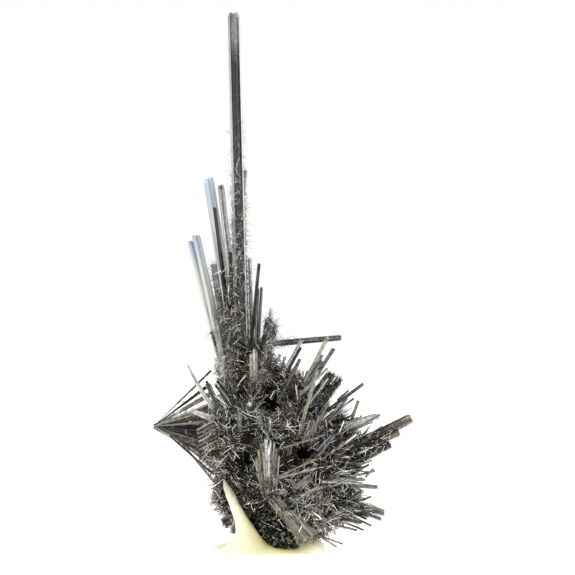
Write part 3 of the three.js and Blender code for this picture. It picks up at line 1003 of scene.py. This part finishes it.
def lumps_tree():
    tree, bench, given = geometry_tree("lumps", {"Float": ("Depth", "Scale"), "Material": ("Finish",)})
    place = bench.node("GeometryNodeInputPosition")
    x, y, z = [part / MM for part in bench.parts(place)]
    push = given["Depth"] * (bench.noise(place, given["Scale"], 2.0) - 0.5)
    full = 1.0
    for centre, radius in HOLLOWS.values():
        away = bench.measure("DISTANCE", place, Vector(centre) * MM)
        inside = 1.0 - bench.between(away / MM, HOLLOW_FLOOR * radius, radius)
        push = push - inside * HOLLOW_DEPTH
        full = full - inside

    from_edge = bench.measure("DOT_PRODUCT", bench.vector("SUBTRACT", place, BROKEN_EDGE), ACROSS_THE_EDGE)
    in_front = 1.0 - bench.between(y, *BEHIND_THE_BREAK)
    low_down = 1.0 - bench.between(z, *ABOVE_THE_BREAK)
    broken = in_front * low_down * (1.0 - bench.between(from_edge / MM, *FELT_FROM_EDGE))
    above_table = bench.between(z, *ABOVE_THE_TABLE)
    sprays = bench.between(x, *SPRAY_TO_THE_RIGHT) + bench.between(y, *SPRAY_TO_THE_BACK)
    sprays = sprays * bench.between(z, *SPRAY_ABOVE_THE_TABLE)
    geometry = store(bench, given["Geometry"], "FLOAT", "coat", full * (1.0 - broken) * above_table)
    geometry = store(bench, geometry, "FLOAT", "spray", sprays)
    geometry = store(bench, geometry, "FLOAT", "grit", broken + 1.0 - above_table)
    normal = bench.node("GeometryNodeInputNormal")
    geometry = moved(bench, geometry, bench.vector("SCALE", normal, push))
    close_tree(bench, geometry, given["Finish"])
    return tree


# %% Core
CORE_SPECKS = 900.0
CORE_LUMPS = 210.0
LUMP_DEPTH = 5.0 * MM

# The core's near-black colour is painted shade: it stands for the deep shade between the needles.
core_finish, bench = new_material("felt_core")
shade = bench.between(bench.noise(bench.on_specimen(), CORE_SPECKS, 3.0), 0.35, 0.7)
close_material(bench, {
    "Base Color": bench.blend(shade, srgb(8, 8, 7), srgb(30, 28, 25)),
    "Roughness": 0.8,
    "Specular IOR Level": 0.1,
})
core_values = {"Depth": LUMP_DEPTH, "Scale": CORE_LUMPS, "Finish": core_finish}
core = make_object("felt_core", run_tree(lumps_tree(), core_start, core_values))
settle(core, "needle_mass")

# %% [markdown]
# ## The felt: needles
# The felt is thousands of hair-thin crystals that lie every way, some straight and some bent.
# Hair particles would do, but the export needs plain meshes, and a needle needs only three sides.
# So scattering is a rule too: points on a skin, one needle shape picked at each point, turned and scaled
# at random. A needle heads away from a focus (radial), along its neighbours (comb) or anywhere (loose),
# and is then laid down on the skin (flat) or raised from it (lift).

# %% Needle finish
DUST_PATCHES = 150.0
DUSTY_STARTS, DUSTY_FULL = 0.4, 0.65
LOW_FRONT = -12.0, 4.0
FAR_RIGHT = 10.0, 17.0
# The darkening of the needles far to the right is painted shade.
LOW_FRONT_LIGHTER, FAR_RIGHT_PAINTED_SHADE = 0.22, 0.18
DARK_NEEDLES, LIGHT_NEEDLES = 0.20, 1.0

needle_finish, bench = new_material("needles")
place = bench.on_specimen()
x, _, z = bench.parts(place)
dusty = bench.between(bench.noise(place, DUST_PATCHES, 2.0), DUSTY_STARTS, DUSTY_FULL)
needle_dark = bench.blend(dusty, srgb(60, 57, 54), srgb(64, 57, 46))
needle_light = bench.blend(dusty, srgb(252, 251, 247), srgb(250, 245, 230))
low_front = bench.between((x - z) / MM, *LOW_FRONT)
# Far to the right the needles are made darker as painted shade, where the felt lies under the right long
# prism.
painted_shade_right = bench.between(x / MM, *FAR_RIGHT)
tone = bench.attribute("tone", "Fac") + LOW_FRONT_LIGHTER * low_front - FAR_RIGHT_PAINTED_SHADE * painted_shade_right
close_material(bench, {
    "Base Color": bench.blend(bench.between(tone, DARK_NEEDLES, LIGHT_NEEDLES), needle_dark, needle_light),
    "Metallic": 0.95,
    "Roughness": 0.12,
})
print("needle finish:", len(needle_finish.node_tree.nodes), "nodes")


# %% Scattering
def scattered(bench, given, mask):
    """Points on a skin, as dense as the stored mask says, and which way the skin faces there."""
    amount = bench.node("GeometryNodeInputNamedAttribute", {"data_type": "FLOAT"}, {"Name": mask})
    sockets = {"Mesh": given["Geometry"], "Density": given["Density"] * amount, "Seed": given["Seed"]}
    points = bench.node("GeometryNodeDistributePointsOnFaces", None, sockets)
    return points, Wire(bench, points.socket.node.outputs["Normal"])


def planted(bench, points, shapes, rotation, sizes, seeds):
    """One of the shapes on each point, picked, scaled and toned by chance."""
    pick_seed, size_seed, tone_seed = seeds
    choice = bench.tree.nodes.new("GeometryNodeJoinGeometry")
    for shape in shapes:
        single = bench.node("GeometryNodeGeometryToInstance", None, {"Geometry": shape})
        bench.tree.links.new(single.socket, choice.inputs[0])
    size = chance(bench, size_seed, *sizes)
    made = bench.node("GeometryNodeInstanceOnPoints", None, {
        "Points": points, "Instance": Wire(bench, choice.outputs[0]), "Pick Instance": True,
        "Instance Index": chance(bench, pick_seed, 0, len(shapes) - 1, "INT"), "Rotation": rotation,
        "Scale": bench.combine(size, size, size),
    })
    return store(bench, made, "FLOAT", "tone", chance(bench, tone_seed, 0.0, 1.0), "INSTANCE")


# %% Needle rule
NEEDLE_INPUTS = {
    "String": ("Mask",),
    "Float": (
        "Density", "Shortest", "Longest", "Slenderness", "Lift", "Flat", "Comb", "Loose", "Radial",
        "Blunt", "Bend",
    ),
    "Vector": ("Focus",),
    "Int": ("Sides", "Seed"),
    "Material": ("Finish",),
}
SEGMENTS_AND_BENDS = ((1, 0.0), (1, 0.0), (2, 0.9))
COMB_SCALE = 240.0


def needle_shape(bench, given, segments, bend):
    cone = bench.node("GeometryNodeMeshCone", {"fill_type": "NGON"}, {
        "Vertices": given["Sides"], "Side Segments": segments, "Depth": 1.0,
        "Radius Top": given["Blunt"] * given["Slenderness"], "Radius Bottom": given["Slenderness"],
    })
    z = bench.parts(bench.node("GeometryNodeInputPosition"))[2]
    return moved(bench, cone, bench.combine(z * z * given["Bend"] * bend))


def needle_heading(bench, given, normal):
    """Which way the needle at each point lies."""
    place = bench.node("GeometryNodeInputPosition")
    away = bench.vector("NORMALIZE", bench.vector("SUBTRACT", place, given["Focus"]))
    comb = bench.node("ShaderNodeTexNoise", None, {"Vector": place, "Scale": COMB_SCALE}, output="Color")
    comb = bench.vector("SUBTRACT", comb, (0.5, 0.5, 0.5))
    loose = chance(bench, given["Seed"] + 5, (-1, -1, -1), (1, 1, 1), "FLOAT_VECTOR")
    heading = bench.vector("SCALE", away, given["Radial"])
    for direction, amount in ((comb, given["Comb"]), (loose, given["Loose"])):
        heading = bench.vector("ADD", heading, bench.vector("SCALE", direction, amount))
    upwards = given["Lift"] - given["Flat"] * bench.measure("DOT_PRODUCT", heading, normal)
    return bench.vector("ADD", heading, bench.vector("SCALE", normal, upwards))


def needle_tree():
    tree, bench, given = geometry_tree("needles", NEEDLE_INPUTS)
    points, normal = scattered(bench, given, given["Mask"])
    spin = bench.node("FunctionNodeAxisAngleToRotation", None, {
        "Axis": (0, 0, 1), "Angle": chance(bench, given["Seed"] + 6, 0.0, math.tau),
    })
    heading = needle_heading(bench, given, normal)
    turned = bench.node(
        "FunctionNodeAlignRotationToVector", {"axis": "Z"}, {"Rotation": spin, "Vector": heading}
    )
    shapes = [needle_shape(bench, given, *values) for values in SEGMENTS_AND_BENDS]
    sizes = given["Shortest"], given["Longest"]
    seeds = [given["Seed"] + offset for offset in (7, 8, 9)]
    close_tree(bench, planted(bench, points, shapes, turned, sizes, seeds), given["Finish"])
    return tree


needle_rule = needle_tree()
print("needle rule:", len(needle_rule.nodes), "nodes")

# %% [markdown]
# ## Needles on the core
# Short felt lies flat and combed, and longer needles cross it. At the right and the back, stiff six-sided
# prisms and fine needles spray outwards from the middle. The bare edge gets grit: stubby, dark and
# four-sided. It could be a bump in the core's finish, but real grains also break the outline.

# %% Needles on the core
PER_MM2 = 1e6
USUAL_NEEDLES = {
    "Mask": "coat", "Radial": 0.0, "Focus": Vector((-2, 0, 14)) * MM, "Sides": 3, "Blunt": 0.6,
    "Finish": needle_finish,
}


def needle_piece(name, skin, per_mm2, lengths, **values):
    """One piece of needles: how many, how long in mm, and the inputs of the rule that differ."""
    shortest, longest = lengths
    sizes = {"Density": per_mm2 * PER_MM2, "Shortest": shortest * MM, "Longest": longest * MM}
    made = run_tree(needle_rule, skin, {**USUAL_NEEDLES, **sizes, **values})
    settle(make_object(name, made))


grit_finish, bench = new_material("grit")
glint = bench.between(bench.attribute("tone", "Fac"), 0.5, 1.0)
close_material(bench, {
    "Base Color": bench.blend(glint, srgb(34, 32, 31), srgb(150, 146, 140)),
    "Metallic": 0.6,
    "Roughness": 0.3,
})
needle_piece(
    "felt_needles", core.data, 5.6, (1.0, 2.6), Slenderness=0.030,
    Lift=0.25, Flat=0.8, Comb=2.6, Loose=0.7, Bend=0.40, Seed=11,
)
needle_piece(
    "long_needles", core.data, 1.8, (2.0, 4.6), Slenderness=0.017,
    Lift=0.20, Flat=0.8, Comb=2.0, Loose=0.8, Bend=0.18, Seed=34,
)
needle_piece(
    "root_grit", core.data, 4.0, (0.4, 1.1), Slenderness=0.30, Finish=grit_finish, Mask="grit",
    Lift=0.3, Flat=0.0, Comb=1.0, Loose=1.0, Sides=4, Bend=0.0, Seed=71,
)
needle_piece(
    "slender_prisms", core.data, 0.10, (3.0, 6.5), Slenderness=0.045, Mask="spray", Radial=2.0,
    Lift=0.2, Flat=0.0, Comb=2.0, Loose=1.1, Sides=6, Blunt=0.95, Bend=0.0, Seed=43,
)
needle_piece(
    "spray_needles", core.data, 0.45, (2.5, 4.8), Slenderness=0.015, Mask="spray", Radial=1.6,
    Lift=0.1, Flat=0.35, Comb=0.8, Loose=0.4, Blunt=0.7, Bend=0.10, Seed=45,
)

# %% [markdown]
# ## The felt: curled threads
# The thinnest stibnite crystals bend like steel wool. A bent cone can't make a loop, so these are arcs of a
# circle, swept with a three-sided section and scattered by the same kind of rule.

# %% Curled threads
CURL_INPUTS = {
    "Float": ("Density", "Smallest", "Largest", "Thickness"),
    "Int": ("Seed",),
    "Material": ("Finish",),
}
CURL_SWEEPS = (80, 130, 230)
CURL_STEPS = 7


def curl_shape(bench, given, degrees):
    arc = bench.node("GeometryNodeCurveArc", {"mode": "RADIUS"}, {
        "Resolution": CURL_STEPS, "Radius": 1.0, "Sweep Angle": math.radians(degrees),
    })
    arc = bench.node("GeometryNodeTransform", None, {"Geometry": arc, "Translation": (-1.0, 0.0, 0.0)})
    circle = {"Resolution": 3, "Radius": given["Thickness"]}
    section = bench.node("GeometryNodeCurvePrimitiveCircle", None, circle)
    sweep = {"Curve": arc, "Profile Curve": section, "Fill Caps": True}
    return bench.node("GeometryNodeCurveToMesh", None, sweep)


def curl_tree():
    tree, bench, given = geometry_tree("curls", CURL_INPUTS)
    points = scattered(bench, given, "coat")[0]
    shapes = [curl_shape(bench, given, degrees) for degrees in CURL_SWEEPS]
    turned = chance(bench, given["Seed"] + 2, (0, 0, 0), (math.tau, math.tau, math.tau), "FLOAT_VECTOR")
    sizes = given["Smallest"], given["Largest"]
    seeds = [given["Seed"] + offset for offset in (1, 3, 4)]
    close_tree(bench, planted(bench, points, shapes, turned, sizes, seeds), given["Finish"])
    return tree


curl_values = {
    "Density": 1.4 * PER_MM2, "Smallest": 0.5 * MM, "Largest": 1.5 * MM, "Thickness": 0.062, "Seed": 61,
    "Finish": needle_finish,
}
settle(make_object("curled_threads", run_tree(curl_tree(), core.data, curl_values)))

# %% [markdown]
# ## Needles on the prisms
# The felt creeps up the lower halves of the prisms. The prism rule stored how thick it is at each place,
# so a joined copy of all the prisms is a skin for the same needle rule. The copy goes again afterwards.
# The tall group is the part that is seen most, and it gets a second, finer coat.

# %% Needles on the prisms
TALL_GROUP = (
    "tall_prism", "short_blue_prism", "thin_dark_prism", "wide_dark_prism", "striped_prism",
    "left_edge_prism", "light_grey_prism", "slim_dark_prism", "slim_pair", "coated_stump",
)
coat_skin = join("coat_skin", [crystal.data.copy() for crystal in crystals.values()])
tall_skin = join("tall_skin", [crystals[node].data.copy() for node in TALL_GROUP])
needle_piece(
    "coat_needles", coat_skin.data, 4.4, (0.6, 2.0), Slenderness=0.025,
    Lift=0.10, Flat=0.9, Comb=1.0, Loose=0.9, Bend=0.35, Seed=51,
)
needle_piece(
    "coat_hairs", coat_skin.data, 0.3, (1.0, 2.4), Slenderness=0.022,
    Lift=0.15, Flat=0.6, Comb=1.0, Loose=0.7, Bend=0.5, Seed=55,
)
needle_piece(
    "tall_coat", tall_skin.data, 4.5, (0.8, 2.0), Slenderness=0.020,
    Lift=0.10, Flat=0.9, Comb=0.8, Loose=0.9, Bend=0.35, Seed=57,
)
for skin in (coat_skin, tall_skin):
    bpy.data.objects.remove(skin)

# %% [markdown]
# ## The putty
# Mounting putty is soft, waxy and pale yellow. It was pressed up round the base with a thumb.
# The solid's shape is right but faceted. Subdividing loose facets would keep their edges, so a merged copy
# is remeshed into small even faces, smoothed above the table and dented a little by noise.
# Light goes a little way into wax, so the finish scatters it under the surface. A faint glow on top is
# painted
# light that lifts the shaded putty. The putty is yellower beside the crystals, and greyer up the thin horn:
# painted shade from the needle mass above it.

# %% Putty finish
PUTTY_CLOUDS = 220.0
BESIDE_CRYSTALS = Vector((3, -8, 6)) * MM
BUTTER_ENDS = 3.0, 12.0
BUTTER_RAGGED = 4.0
HORN_SHADE_HEIGHTS = 8.0, 16.5

putty_finish, bench = new_material("putty")
place = bench.on_specimen()
cloud = bench.noise(place, PUTTY_CLOUDS, 3.0)
from_crystals = bench.measure("DISTANCE", place, BESIDE_CRYSTALS) / MM
butter = 1.0 - bench.between(from_crystals + BUTTER_RAGGED * (cloud - 0.5), *BUTTER_ENDS)
# Up the horn the wax turns greyer: painted shade from the needle mass above it.
horn_painted_shade = bench.between(bench.parts(place)[2] / MM, *HORN_SHADE_HEIGHTS)
waxy = bench.blend(horn_painted_shade, srgb(252, 249, 226), srgb(190, 186, 162))
close_material(bench, {
    "Base Color": bench.blend(butter, waxy, srgb(252, 243, 172)),
    "Roughness": 0.42 + 0.2 * cloud,
    "Subsurface Weight": 0.25,
    "Subsurface Radius": (0.004, 0.0035, 0.0015),
    "Subsurface Scale": 0.6,
    # The faint glow is painted light: it lifts the putty where it lies in shade.
    "Emission Color": srgb(252, 246, 190),
    "Emission Strength": 0.07,
})
print("putty finish:", len(putty_finish.node_tree.nodes), "nodes")

# %% Putty shape
PUTTY_VOXEL = 0.45 * MM
PUTTY_SMOOTHING = 6
SAME_CORNER = 0.001 * MM
OFF_THE_TABLE = 0.1, 1.5
DENT_SCALE, CREASE_SCALE = 140.0, 700.0


def thumbed_tree():
    tree, bench, given = geometry_tree("thumbed", {"Float": ("Broad", "Fine"), "Material": ("Finish",)})
    place = bench.node("GeometryNodeInputPosition")
    free = bench.between(bench.parts(place)[2] / MM, *OFF_THE_TABLE)
    dents = given["Broad"] * (bench.noise(place, DENT_SCALE, 1.0) - 0.5)
    creases = given["Fine"] * (bench.noise(place, CREASE_SCALE, 2.0) - 0.5)
    normal = bench.node("GeometryNodeInputNormal")
    geometry = moved(bench, given["Geometry"], bench.vector("SCALE", normal, (dents + creases) * free))
    smooth = {"Geometry": geometry, "Shade Smooth": True}
    close_tree(bench, bench.node("GeometryNodeSetShadeSmooth", None, smooth), given["Finish"])
    return tree


def merged(mesh):
    """A copy of a mesh of loose triangles with its doubled corners merged."""
    work = bmesh.new()
    work.from_mesh(mesh)
    bmesh.ops.remove_doubles(work, verts=work.verts, dist=SAME_CORNER)
    made = bpy.data.meshes.new("merged")
    work.to_mesh(made)
    work.free()
    return made


def smoothed(mesh, lowest, passes):
    """The same mesh, relaxed above a height. The flat underside stays flat."""
    work = bmesh.new()
    work.from_mesh(mesh)
    for _ in range(passes):
        free = [vertex for vertex in work.verts if vertex.co.z > lowest]
        bmesh.ops.smooth_vert(
            work, verts=free, factor=0.5, use_axis_x=True, use_axis_y=True, use_axis_z=True
        )
    work.to_mesh(mesh)
    work.free()
    return mesh


putty_skin = remeshed(merged(frame["nodes"]["putty_foot"].data), PUTTY_VOXEL)
putty_start = smoothed(putty_skin, PUTTY_VOXEL, PUTTY_SMOOTHING)
putty_values = {"Broad": 1.2 * MM, "Fine": 0.25 * MM, "Finish": putty_finish}
putty = make_object("putty", run_tree(thumbed_tree(), putty_start, putty_values))
settle(putty, "putty_foot")
